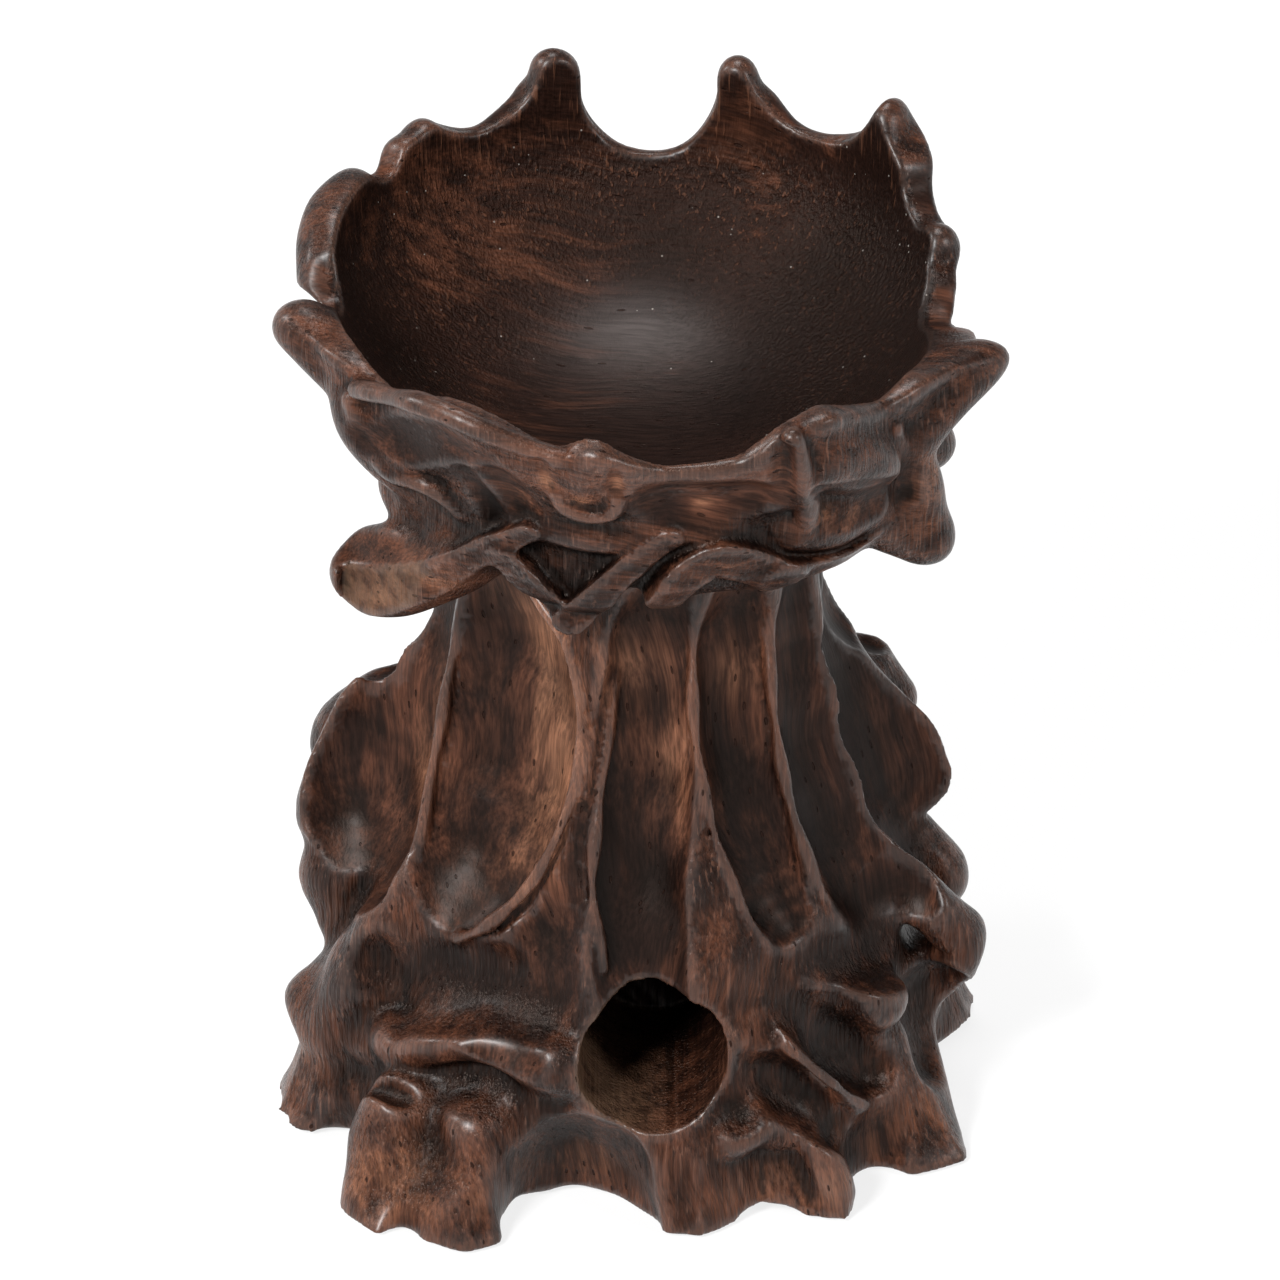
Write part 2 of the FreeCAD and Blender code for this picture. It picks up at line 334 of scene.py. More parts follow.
def bandDistance(block, surface, rows, reach):
    # how far outside a band, drawn on the unrolled surface, and how far outside that surface
    rows = smoothRows(rows, 3)
    radii = np.array([float(surface(angle, height)) for angle, height in rows[:, :2]])
    turn = np.radians(rows[:, 0])
    spread = rows[:, 2].max() + abs(rows[:, 3]).max() + reach
    middle = np.column_stack([radii * np.cos(turn), radii * np.sin(turn), rows[:, 1]])
    spans = windowOf(block, middle.min(axis=0) - spread, middle.max(axis=0) + spread)
    x, y, z = gridOf(block, spans)
    around = np.sqrt(x**2 + y**2)
    degrees = np.degrees(np.arctan2(y, x)) % 360.0
    shape = np.broadcast_shapes(around.shape, z.shape)
    outside, step = np.full(shape, farAway), np.zeros(shape)
    for (a0, z0, w0, d0), (a1, z1, w1, d1), radius in zip(rows, rows[1:], radii):
        along, up = math.radians(a1 - a0) * radius, z1 - z0
        aside = np.radians((degrees - a0 + 180.0) % 360.0 - 180.0) * radius
        way = np.clip((aside * along + (z - z0) * up) / max(along**2 + up**2, 1e-6), 0.0, 1.0)
        gap = np.sqrt((aside - way * along) ** 2 + (z - z0 - way * up) ** 2) - w0 - way * (w1 - w0)
        step = np.where(gap < outside, d0 + way * (d1 - d0), step)
        outside = np.minimum(outside, gap)
    return spans, outside, around - surface(degrees, z) - step, around


def raiseBand(block, surface, rows, blend, polish, clear):
    # angle, height, half width, rise: a flat band with crisp sides, clear of what stands inside it
    spans, outside, above, around = bandDistance(block, surface, rows, blend + 2.0)
    band = np.maximum(np.maximum(outside, above), clear - around)
    softJoin(block, spans, band.astype(np.float32), blend, polish)


def gnarl(block, cell, depth, seed, heights, repeat=24, shift=60.0):
    # knobs and dips of a burl, on a lattice that repeats, faded in and out over four heights
    lattice = np.random.RandomState(seed).rand(repeat, repeat, repeat).astype(np.float32)
    spans = windowOf(block, (-farAway, -farAway, heights[0]), (farAway, farAway, heights[3]))
    value, corners = 0.0, []
    for axis, span in zip(block["axes"], spans):
        place = (axis[span] + shift) / cell
        first = np.floor(place).astype(int)
        way = place - first
        corners.append((first % repeat, (first + 1) % repeat, way * way * (3.0 - 2.0 * way)))
    for sides in np.ndindex(2, 2, 2):
        picks = [corner[side] for corner, side in zip(corners, sides)]
        share = [corner[2] if side else 1.0 - corner[2] for corner, side in zip(corners, sides)]
        value = value + lattice[np.ix_(*picks)] * share[0][:, None, None] * share[1][:, None] * share[2]
    fade = np.interp(block["axes"][2][spans[2]], heights, (0.0, 1.0, 1.0, 0.0))
    block["field"][spans] += (depth * fade * (1.0 - 2.0 * value)).astype(np.float32)


def pointAt(angle, reach, height):
    turn = math.radians(angle)
    return reach * math.cos(turn), reach * math.sin(turn), height


def cutFacet(block, centre, normal, radius, blend=0.3, polish=0.3):
    # a flat cut square to normal, kept inside a ball round centre
    point = pointAt(*centre)
    spans = windowOf(block, [c - radius for c in point], [c + radius for c in point])
    x, y, z = gridOf(block, spans)
    unit = Vector(normal).normalized()
    px, py, pz = x - point[0], y - point[1], z - point[2]
    behind = -(px * unit.x + py * unit.y + pz * unit.z)
    ball = np.sqrt(px**2 + py**2 + pz**2) - radius
    softCut(block, spans, np.maximum(behind, ball), blend, polish)


def unevenHand(block, size):
    # the slight waviness of hand work
    x, y, z = block["x"], block["y"], block["z"]
    for along, across, up, shift in handWaves:
        block["field"] += np.float32(size) * np.sin(along * x + across * y + up * z + shift)


def soften(block, rounds):
    # rounds off corners and tips by averaging each point with its neighbours
    field = block["field"]
    for _ in range(rounds):
        for axis in range(3):
            count = field.shape[axis]
            before = np.concatenate([field.take([0], axis), field.take(range(count - 1), axis)], axis)
            after = np.concatenate([field.take(range(1, count), axis), field.take([-1], axis)], axis)
            field = 0.5 * field + 0.25 * (before + after)
    block["field"] = field


def bakeModifiers(piece):
    baked = bpy.data.meshes.new_from_object(piece.evaluated_get(bpy.context.evaluated_depsgraph_get()))
    piece.modifiers.clear()
    piece.data = baked
    return baked


def meshFromBlock(block, name, material, triangles):
    grid = openvdb.FloatGrid(3.0)
    grid.copyFromArray(block["field"])
    points, quads = grid.convertToQuads(isovalue=0.0)
    low = np.array([axis[0] for axis in block["axes"]])
    mesh = bpy.data.meshes.new(name)
    mesh.from_pydata(((points * block["step"] + low) * mm).tolist(), [], quads[:, ::-1].tolist())
    mesh.materials.append(material)
    piece = addToScene(name, mesh)
    thin = piece.modifiers.new("thinOut", "DECIMATE")
    thin.ratio = min(1.0, triangles / (2 * len(quads)))
    thinned = bakeModifiers(piece)
    thinned.name = name
    thinned.polygons.foreach_set("use_smooth", np.ones(len(thinned.polygons), dtype=bool))
    print(name, "carved:", 2 * len(quads), "triangles thinned to", len(thinned.polygons))
    return piece


def pointsOf(piece):
    places = np.zeros(3 * len(piece.data.vertices), dtype=np.float32)
    piece.data.vertices.foreach_get("co", places)
    return places.reshape(-1, 3) / mm


def writeMark(piece, name, values):
    layer = piece.data.attributes.new(name, "FLOAT", "POINT")
    layer.data.foreach_set("value", np.asarray(values, dtype=np.float32))


def markCarving(piece, block):
    # polish: how smooth the tool left the wood; edge and relief: over zero on ridges, under zero in hollows
    field, step = block["field"], block["step"]
    low = np.array([axis[0] for axis in block["axes"]])
    cells = np.rint((pointsOf(piece) - low) / step).astype(int)
    most = np.array(field.shape) - 1
    at = lambda shift: tuple(np.clip(cells + shift, 0, most).T)
    here = at(np.zeros(3, dtype=int))
    for name, reaches in markReaches:
        bend = np.zeros(len(cells))
        for reach in reaches:
            for axis in np.eye(3, dtype=int) * reach:
                bend += (field[at(axis)] + field[at(-axis)] - 2 * field[here]) / (reach * step)
        writeMark(piece, name, np.clip(bend / len(reaches), -1.0, 1.0))
    writeMark(piece, "polish", block["polish"][here])


def stainAndLightAround(points, rows):
    # angle, height, half width, half height, amount: soft patches of stain and of painted light and shade on
    # the outside
    degrees = np.degrees(np.arctan2(points[:, 1], points[:, 0]))
    around = np.hypot(points[:, 0], points[:, 1])
    stainAndPaintedLight = np.zeros(len(points))
    for angle, height, wide, tall, amount in rows:
        aside = np.radians((degrees - angle + 180.0) % 360.0 - 180.0) * around / wide
        stainAndPaintedLight += amount * np.exp(-(aside**2) - ((points[:, 2] - height) / tall) ** 2)
    return stainAndPaintedLight


def paintedShadeAcross(points, rows):
    # x, y, half width, amount: soft patches of painted shade in the dish, seen from above
    stainAndPaintedLight = np.zeros(len(points))
    for x, y, wide, amount in rows:
        stainAndPaintedLight += amount * np.exp(-(((points[:, 0] - x) ** 2 + (points[:, 1] - y) ** 2) / wide**2))
    return stainAndPaintedLight


# Dark wood


def newGroup(name, outputs):
    tree = bpy.data.node_groups.new(name, "ShaderNodeTree")
    tree.interface.new_socket("Vector", in_out="INPUT", socket_type="NodeSocketVector")
    for label in outputs:
        tree.interface.new_socket(label, in_out="OUTPUT", socket_type="NodeSocketFloat")
    given, out = tree.nodes.new("NodeGroupInput").outputs, tree.nodes.new("NodeGroupOutput")
    return tree, NodeBench(tree), given["Vector"], out


def makeGrainGroup():
    # the wood's own figure; its length lies along Z of the vector, in millimetres
    tree, bench, straight, out = newGroup("woodFigure", ("Streak", "Cloud", "Fibre", "Pore"))
    sway = bench.add("TexNoise", {"Vector": straight, "Scale": 0.05, "Detail": 1.0}).outputs["Color"]
    bent = bench.add("VectorMath", {0: sway, 1: (7.0, 7.0, 0.0)}, operation="MULTIPLY").outputs[0]
    vector = bench.add("VectorMath", {0: straight, 1: bent}, operation="ADD").outputs[0]
    streak = bench.noise(bench.stretch(vector, (1.0, 1.0, 0.10)), 0.55, 5.0, 0.65)
    cloud = bench.noise(vector, 0.09, 3.0, 0.55)
    fibre = bench.noise(bench.stretch(vector, (1.0, 1.0, 0.045)), 3.4, 2.0, 0.6)
    cells = bench.stretch(vector, (1.1, 1.1, 0.34))
    nearest = bench.add("TexVoronoi", {"Vector": cells, "Scale": 1.0, "Randomness": 1.0})
    chance = bench.add("SeparateColor", {"Color": nearest.outputs["Color"]}).outputs[0]
    spot = bench.span(nearest.outputs["Distance"], 0.11, 0.18, 1.0, 0.0)
    pore = bench.times(spot, bench.span(chance, 0.45, 0.6))
    bench.fill(out, {"Streak": streak, "Cloud": cloud, "Fibre": fibre, "Pore": pore})
    return tree


def makeBrushGroup():
    # fine scratches of the wire brush, in two crossing directions
    tree, bench, vector, out = newGroup("wireBrush", ("Scratch", "Tooth"))
    first = bench.noise(bench.stretch(vector, (2.6, 2.6, 0.16), (18.0, 38.0, 0.0)), 1.0, 2.0, 0.6)
    second = bench.noise(bench.stretch(vector, (2.9, 2.9, 0.18), (-12.0, -50.0, 30.0)), 1.0, 2.0, 0.6)
    side = bench.span(bench.noise(vector, 0.12, 1.0), 0.42, 0.58)
    tooth = bench.add("Mix", {0: side, 2: first, 3: second}).outputs[0]
    bench.fill(out, {"Scratch": bench.span(tooth, 0.58, 0.70), "Tooth": tooth})
    return tree


woodGrainGroup = makeGrainGroup()
wireBrushGroup = makeBrushGroup()

woodTones = {
    "black": (0.0090, 0.0034, 0.0022, 1.0),
    "brown": (0.064, 0.0230, 0.0122, 1.0),
    "tan": (0.185, 0.083, 0.046, 1.0),
    "worn": (0.125, 0.052, 0.029, 1.0),
    "rawWoodAndLight": (0.08, 0.047, 0.028, 1.0),
    "dust": (0.34, 0.31, 0.28, 1.0),
}
woodFinish = {
    "cloudPull": 0.6,  # how far clouds, and stains with painted light and shade, move the tone
    "stainAndLightPull": 0.28,
    "brownTones": (0.34, 0.80),  # tones over which black turns brown, then tan
    "tanTones": (0.48, 0.92),
    "tanStainsAndLight": (0.05, 0.75),
    "fibreShades": (0.6, 1.35),  # darkest and lightest: fibres, painted shade in hollows, painted shade and light on sunken and raised places, dark stains with painted shade
    "paintedHollowShades": (0.3, 1.0),
    "paintedReliefShades": (0.55, 1.1),
    "darkStainsAndShade": (0.45, 1.0),
    "rubbed": (0.20, 0.14),  # wear on ridges, and how much less of it on polished wood
    "scratched": 0.38,
    "poreDark": 0.85,
    "dust": 0.5,
    "roughness": {
        "wood": 0.29, "dish": 0.50, "polish": 0.18, "dishPolish": 0.26, "fibre": 0.16, "rawWoodAndLight": 0.25,
    },
    "heights": {"fibre": 0.05, "pore": 0.16, "brush": 0.36, "least": 0.03},  # in millimetres
    "waxOnPolish": (0.18, 0.66),  # on the flutes, on the dish
    "waxOnFibre": (0.22, 0.42),
    "waxOnEdge": 0.5,
    "waxOnBrush": (0.01, 0.26),
    "waxLostInPores": 0.9,
    "waxRoughness": 0.36,
    "tint": (1.0, 0.78, 0.67, 1.0),  # of the wood's own gloss under the wax
}


def makeDarkWood(name, grainTurn, oil, finish):
    material, bench = newMaterial(name)
    plus, minus, times = bench.plus, bench.minus, bench.times
    span, blend, shade = bench.span, bench.blend, bench.shade
    inMm = bench.placeInMm()
    along = bench.stretch(inMm, (1.0, 1.0, 1.0), grainTurn)
    polish, edge, relief = [bench.mark(label) for label in ("polish", "edge", "relief")]
    stainAndPaintedLight, dish, rawWoodAndLight = [bench.mark(label) for label in ("stainAndPaintedLight", "dish", "rawWoodAndLight")]
    grain = bench.fill(bench.add("Group", node_tree=woodGrainGroup), {"Vector": along}).outputs
    strokes = bench.fill(bench.add("Group", node_tree=wireBrushGroup), {"Vector": inMm}).outputs
    rough = minus(1.0, polish, True)
    cloudSwing = minus(grain["Cloud"], 0.5)
    fibreSwing = minus(grain["Fibre"], 0.5)
    toothSwing = minus(strokes["Tooth"], 0.5)

    # the wood's own colour
    tone = plus(grain["Streak"], times(cloudSwing, finish["cloudPull"]))
    tone = plus(tone, times(stainAndPaintedLight, finish["stainAndLightPull"]))
    colour = blend(span(tone, *finish["brownTones"]), woodTones["black"], woodTones["brown"])
    warm = times(span(tone, *finish["tanTones"]), span(stainAndPaintedLight, *finish["tanStainsAndLight"]))
    colour = blend(warm, colour, woodTones["tan"])
    colour = shade(colour, span(grain["Fibre"], 0.32, 0.7, *finish["fibreShades"]))

    # wear on ridges, scratches, painted shade in hollows and sunken places, painted light on raised places,
    # pores, dust in the dish, and raw wood, in the socket partly a painted pool of light
    patchy = plus(times(toothSwing, 1.2), times(cloudSwing, 0.8))
    worn, lessOnPolish = finish["rubbed"]
    rubbed = minus(worn, times(polish, lessOnPolish))
    rubbed = times(span(plus(edge, patchy), 0.30, 1.1), rubbed)
    colour = blend(rubbed, colour, woodTones["worn"])
    scratched = times(strokes["Scratch"], times(rough, finish["scratched"]))
    colour = blend(scratched, colour, woodTones["worn"])
    # painted shade in hollows
    colour = shade(colour, span(edge, -0.6, -0.05, *finish["paintedHollowShades"]))
    # painted shade in sunken places and painted light on raised ones, with no shade in the dish
    sunk = span(relief, -0.7, 0.7, *finish["paintedReliefShades"])
    colour = shade(colour, bench.math("MAXIMUM", sunk, dish))
    # painted shade: the darkest patches, on the dish walls, in hollows and on the flute at the right, darken
    # the colour further
    colour = shade(colour, span(stainAndPaintedLight, -1.6, -0.5, *finish["darkStainsAndShade"]))
    colour = blend(times(grain["Pore"], finish["poreDark"]), colour, woodTones["black"])
    specks = bench.add("TexVoronoi", {"Vector": inMm, "Scale": 0.5, "Randomness": 1.0}).outputs["Distance"]
    dusty = times(span(specks, 0.035, 0.06, 1.0, 0.0), dish)
    colour = blend(times(dusty, finish["dust"]), colour, woodTones["dust"])
    # raw wood on the sawn end; in the socket, raw wood and a painted pool of light
    rawAndLitShare = times(rawWoodAndLight, span(grain["Streak"], 0.3, 0.6, 0.2, 0.8))
    colour = blend(rawAndLitShare, colour, woodTones["rawWoodAndLight"])

    share = finish["roughness"]
    gloss = span(dish, 0.0, 1.0, share["wood"], share["dish"])
    gloss = plus(times(polish, share["polish"]), gloss)
    gloss = minus(gloss, times(times(dish, polish), share["dishPolish"]))
    gloss = plus(gloss, times(fibreSwing, share["fibre"]))
    gloss = plus(gloss, times(rawWoodAndLight, share["rawWoodAndLight"]), True)

    share = finish["heights"]
    height = times(grain["Fibre"], share["fibre"])
    height = minus(height, times(grain["Pore"], share["pore"]))
    brushed = plus(times(rough, share["brush"]), share["least"])
    height = plus(height, times(strokes["Tooth"], brushed))

    # wax, thick on the dish and on ridges, and caught by the strokes of the brush
    wax = span(dish, 0.0, 1.0, *finish["waxOnPolish"])
    wax = times(wax, span(grain["Fibre"], 0.3, 0.7, *finish["waxOnFibre"]))
    wax = times(polish, wax)
    wax = plus(wax, span(edge, 0.05, 0.7, 0.0, finish["waxOnEdge"]))
    caught = span(strokes["Tooth"], 0.35, 0.75, *finish["waxOnBrush"])
    wax = plus(wax, times(times(rough, minus(1.0, dish)), caught))
    closed = minus(1.0, times(grain["Pore"], finish["waxLostInPores"]))
    wax = times(wax, closed, True)

    shader = bench.add("BsdfPrincipled", {"Base Color": colour, "Roughness": gloss, "Coat Weight": wax})
    bench.fill(shader, {"Normal": bench.bump(height), "Specular IOR Level": oil})
    bench.fill(shader, {"Specular Tint": finish["tint"], "Coat Roughness": finish["waxRoughness"]})
    bench.add("OutputMaterial", {"Surface": shader.outputs[0]})
    return material


trunkWood = makeDarkWood("trunkWood", (0.0, 4.0, 0.0), 0.12, woodFinish)
crownWood = makeDarkWood("crownWood", (0.0, 80.0, 12.0), 0.11, woodFinish)


# Root pedestal

trunk = {
    "voxel": 0.38,
    "triangles": 185000,
    "low": (-38.0, -38.0, -0.5),
    "high": (38.0, 36.0, 71.0),
    "ground": 0.4,
    "seat": 70.0,
    "profile": (
        (0.4, 28.5), (6, 29.0), (14, 29.3), (20, 29.0), (26, 28.0), (32, 26.6),
        (40, 24.6), (48, 22.6), (56, 20.8), (62, 19.9), (66, 19.8), (70, 20.4),
    ),
    "gnarls": ((8.5, 0.7, 14), (4.6, 0.4, 12)),  # size, depth and seed of the knobs on the roots
    "gnarlHeights": (-5.0, -1.0, 25.0, 33.0),  # they fade in and out between these
    "handWave": 0.08,  # depth of the waviness of hand work
    "toeHeight": 17.0,  # where the spread of the toes begins
    "tenonHole": (9.1, 53.5),  # radius, lowest point
    "socket": (1.3, 19.5, 7.4, -8.0),  # x, height, radius, y of its flat end
    "feltHole": (3.65, 26.0, 1.2),  # radius, distance from the axis, top
    "feltAngles": (24, 92, 160, 231, 319),
    "socketRawAndLight": (0.5, 2.0, 6.0),  # skin of raw wood and painted light, its right end beyond the axis, width of its soft edge
}

# outline of the foot before it is scooped: angle, radius on the table
toeLine = (
    (5, 32), (11, 35.6), (17, 37), (26, 35), (41, 33), (57, 34), (74, 33), (90, 33.2), (107, 33), (124, 34),
    (141, 33.5), (158, 35.5), (176, 35), (188, 37.6), (195, 39.2), (200, 37.4), (205, 34.2), (211, 33.6),
    (216, 35.6), (221, 39.4), (230, 40.4), (238, 37.8), (243, 36.8), (246.5, 34), (251, 30.5), (262, 28.8),
    (272, 30.2), (281, 31.9), (288, 30.4), (294, 29.5), (301, 32), (306, 34.8), (311, 32), (318, 32),
    (325, 34.6), (331, 37.2), (339, 35.2), (346, 32), (356, 30.8),
)

# upright scoops between the toes: angle, deepest radius, gouge radius, height of their top
toeScoops = (
    (357, 30, 6.5, 12), (41, 29.5, 6, 12), (74, 29, 6, 13), (107, 29, 6, 12), (141, 29.5, 6, 13),
    (177, 32, 5, 11), (208.5, 31.6, 3.6, 9), (233.5, 38, 3, 7), (259.5, 24.3, 8.5, 12), (316.5, 30, 4.4, 12),
)

# ridges that run from the neck into the roots, and the knuckles on them:
# blend, then angle, radius, height, brush
rootLimbs = (
    (2.0, ((187, 17.4, 62, 3), (186, 19.6, 55.5, 3), (184, 22.8, 49, 3.8), (183, 27.6, 41, 4.2),
        (183, 30.2, 34, 4.2), (183.5, 30.8, 31.5, 4))),
    (1.5, ((170, 24, 42, 4), (170, 29.4, 37.5, 4), (170, 29.6, 33.5, 4))),
    (2.0, ((184, 26, 29, 4.5), (184.5, 30.2, 26, 4.3), (186, 28.8, 21.8, 4.4))),
    (2.0, ((190, 28, 14.5, 4.6), (191, 32.2, 12.2, 3.9))),
    (3.0, ((207, 20, 52, 1.6), (209, 22.5, 42, 2), (209, 25.5, 33, 2.6), (206, 28.4, 25.5, 3.2),
        (201.5, 30.8, 18, 3.4), (199, 31.6, 11, 3.2))),
    (2.5, ((224, 32.6, 10, 4.2), (223, 33.8, 6, 4.6), (223, 34.4, 2, 4.6))),
    (2.5, ((239, 31.6, 10.5, 3.6), (239.5, 32.6, 6, 4), (239.5, 33, 2, 4))),
    (3.5, ((332, 18.6, 56, 1), (333, 20.8, 46, 1.6), (336, 25.2, 36, 2.2), (338.5, 29.4, 29, 2.6),
        (341.5, 32.8, 24.5, 2.8), (343, 33.6, 21.5, 2.8), (342, 31, 15, 3.2))),
    (2.0, ((4, 11.8, 57, 2.5), (4, 14.8, 50.5, 3), (4, 19.8, 45.5, 3.5), (4, 26, 38, 4.1),
        (4, 27.8, 33.5, 4.1))),
    (2.0, ((6, 26.6, 25, 4.3), (5.5, 29.6, 21.6, 3.7))),
    (2.0, ((22, 24, 42, 4), (20, 26.2, 38.5, 3.4))),
    (2.0, ((16, 27, 15, 5), (15.5, 33, 9.2, 3.4))),
)

# knuckles at the back: angle, height, size
backKnuckles = (
    (48, 20, 5), (62, 36, 4), (92, 27, 4.5), (122, 37, 4), (136, 20, 4.5), (156, 27, 4), (32, 29, 4),
)

# flutes scraped down the trunk: angle, height, half width, depth
trunkFlutes = (
    ((191, 63, 4.5, 1.2), (193, 57, 4.8, 1.6), (196, 51, 4.6, 1.7), (197, 45, 5.2, 2), (198, 38, 5, 1.6),
     (199, 33, 3.2, 0.8)),
    ((226, 67.4, 3.2, 0.9), (227, 64.6, 6.2, 2.2), (228.5, 60, 7.8, 3.2), (230.5, 54, 8.6, 3.8),
     (231, 47, 8.8, 4), (229.5, 40, 8, 3.8), (226, 34, 5, 2.6), (223, 30.5, 2.4, 0.9)),
    ((256, 46, 1.4, 0.5), (252.5, 39.5, 2.8, 0.9), (249, 33.5, 4.2, 1.2), (246.5, 29, 4.6, 0.9)),
    ((275, 66.5, 3.6, 1.2), (273.5, 62, 4.6, 2.2), (271.5, 54, 5, 2.6), (270, 45, 5.2, 3), (269, 37, 5, 3),
     (270.5, 29, 4.8, 2.6), (271.5, 24, 4.8, 2)),
    ((299.5, 67, 3.2, 1), (299, 63, 4.4, 2.2), (296.5, 55, 4.6, 2.6), (297.5, 46, 4.6, 2.8),
     (300.5, 38, 4.3, 2.6), (304, 32.5, 3, 1.5)),
    ((321.5, 65, 2.6, 0.9), (321, 60, 3.5, 1.6), (320, 53, 4.2, 2), (320.5, 45, 4.8, 2.3),
     (323.5, 37, 4.9, 2), (327.5, 31, 3.4, 1)),
    ((347, 66, 4, 1.4), (347, 60, 5, 2.4), (348, 52, 5.8, 2.8), (349, 44, 6.1, 2.8), (351, 36, 5.4, 2.2),
     (353, 31, 3.4, 1)),
    ((368, 67, 5, 1.4), (367, 61, 5.4, 2), (365, 56, 5.2, 2), (364, 53, 3, 0.8)),
    ((24, 65, 3.4, 1.2), (24, 57, 4.4, 1.9), (23, 50, 3.2, 1)),
    ((168, 65, 3.4, 1.2), (168, 57, 4.6, 2), (169, 50, 3.4, 1)),
)

# flutes at the back: their angles, then one of them
backFlutes = (51, 81, 111, 140)
backFlute = ((0, 62, 3.6, 1.6), (0, 54, 5, 2.4), (0, 46, 5.2, 2.6), (0, 38, 4.6, 2.2), (0, 33, 3, 1.4))

# thin ribs left standing beside the flutes: angle, height, brush, rise
trunkRibs = (
    ((202, 61, 0.6, -0.8), (207, 53, 0.6, 0.4), (210, 41, 0.6, 0.5), (212, 33, 0.65, 0.5),
     (216, 29, 0.65, -0.8)),
    ((236, 66.5, 0.55, -0.6), (248, 62.5, 0.55, 0.3), (254.3, 54, 0.55, 0.5), (252.5, 46, 0.55, 0.5),
     (245, 37.5, 0.6, 0.5), (235, 31.5, 0.6, 0.5), (226, 28, 0.6, -0.8)),
    ((262, 60, 0.6, -2), (260, 48, 0.6, -0.2), (259, 39, 0.6, 0.4), (262, 29, 0.6, -0.8)),
    ((287, 66, 0.55, -0.8), (284.5, 55, 0.55, 0.4), (287, 45, 0.55, 0.5), (292.5, 36, 0.6, 0.5),
     (299, 29, 0.6, -0.8)),
    ((312, 63, 0.55, -0.8), (308.5, 55, 0.55, 0.4), (308.5, 45, 0.55, 0.5), (312, 36, 0.6, 0.6),
     (318, 30, 0.6, -0.6)),
)

# folds of the roots: blend, then angle, height, brush, rise
rootFolds = (
    (1.6, ((215, 14.4, 2.6, 2), (222, 16.6, 3.2, 3.2), (232, 19.2, 3.3, 3.4), (242, 20.4, 3.3, 3.4),
        (250, 20, 3, 2.8), (257, 18.8, 2.6, 1.8))),
    (1.0, ((296.9, 24.5, 1, 1.2), (301, 19.2, 1.1, 1.8), (307, 14.7, 1.2, 2), (316, 10.6, 1.3, 1.6))),
    (1.6, ((306.6, 25.6, 1.4, 1.4), (315.4, 24.4, 1.7, 2), (321, 21.8, 2.4, 3), (324, 19.8, 2.6, 3.2))),
    (1.5, ((288.5, 10.5, 2, 1.6), (293, 11.2, 2.2, 2.2), (298, 9.6, 1.8, 1.4))),
    (1.5, ((303.5, 9.5, 2, 1.4), (305, 7, 2, 1.8), (306.5, 3, 1.6, 1))),
    (1.5, ((205, 14.6, 2.4, 1.6), (207, 12, 2.2, 1.4))),
)

# hollows between the folds: angle, height, half width, depth
rootScoops = (
    ((292, 18.5, 1.8, 0.9), (297, 16.2, 2.6, 1.8), (303, 12.6, 2.6, 1.9), (309, 9.4, 2, 1.1)),
    ((303, 23.4, 2, 0.9), (308.5, 20, 2.8, 1.9), (314, 16, 3.2, 2.2), (320, 12.6, 2.6, 1.5)),
    ((288.5, 14.8, 2.2, 0.8), (291, 16.5, 2.2, 0.8)),
    ((338, 11.5, 3.6, 1.5), (337, 16, 3, 1.3)),
    ((217, 22.8, 3.2, 0.9), (227, 25.4, 4.2, 1.9), (238, 26.8, 4.4, 2.2), (249, 27, 3.6, 1.5)),
    ((300, 28.2, 2, 0.5), (312, 28, 2.4, 0.7), (326, 26.2, 2.4, 0.7)),
)

# deep cuts under the folds: blend, then angle, radius, height, brush
rootGouges = (
    (0.6, ((217, 35.6, 12, 0.9), (222, 34.9, 12.8, 1.2), (232.5, 34, 14.2, 1.4), (241.7, 33.4, 15.3, 1.5),
        (248, 32.6, 15.2, 1.7), (255, 31.8, 14.2, 2.2))),
    (0.5, ((295, 20, -2.8, 4.2), (295, 36, -2.4, 4.6))),
    (0.5, ((299, 29.2, 28, 1.4), (295.4, 30, 21.7, 1.8), (290.4, 30.6, 18.9, 1.6))),
    (0.5, ((184, 36, 29.4, 1.3), (190, 34.5, 29.2, 1.5), (197, 31.5, 29, 2))),
    (0.8, ((336, 36.5, 14.5, 3), (344, 38, 14, 4), (352, 37, 15, 4.5))),
    (0.5, ((184, 36.5, 19, 2.4), (191, 37, 18.6, 2.2))),
)

# lighter and darker patches: stains of the wood, with painted shade in hollows and on the flute at the right,
# and painted light on lit faces of the left flutes and the toes: angle, height, half width, half height,
# amount
trunkStainsAndPaintedLight = (
    (199, 44, 4, 9, 0.8), (242, 51, 4.5, 14, 1.2), (228, 63, 6, 4, 0.6), (228, 35, 4, 4, 0.4),
    (280, 48, 2.5, 9, 0.6), (268, 60, 4, 6, 0.4), (300, 57, 2.5, 5, 0.6), (320, 60, 3, 9, 0.4),
    (255, 6, 7, 4, 0.4), (221, 48, 3, 15, -0.3), (270, 34, 4, 9, -0.7), (298, 40, 3, 9, -0.3),
    (320, 40, 4, 9, -0.3), (228, 5, 9, 6, 0.5), (300, 4, 9, 4, 0.4), (330, 5, 6, 6, 0.3),
    (348, 48, 5, 14, -1.3), (230, 25, 9, 3, -0.8), (310, 26, 8, 4, -0.5), (193, 8, 5, 6, 0.5),
    (310, 17, 7, 5, -0.4), (355, 12, 6, 6, -0.3),
)


def trunkSpread(angle, height):
    spread = np.clip(1.0 - (height - trunk["ground"]) / trunk["toeHeight"], 0.0, 1.0) ** 1.1
    return (aroundValue(toeLine, 1, angle) - trunk["profile"][0][1]) * spread


def trunkSurface(angle, height):
    return profileRadius(trunk["profile"], height) + trunkSpread(angle, height)


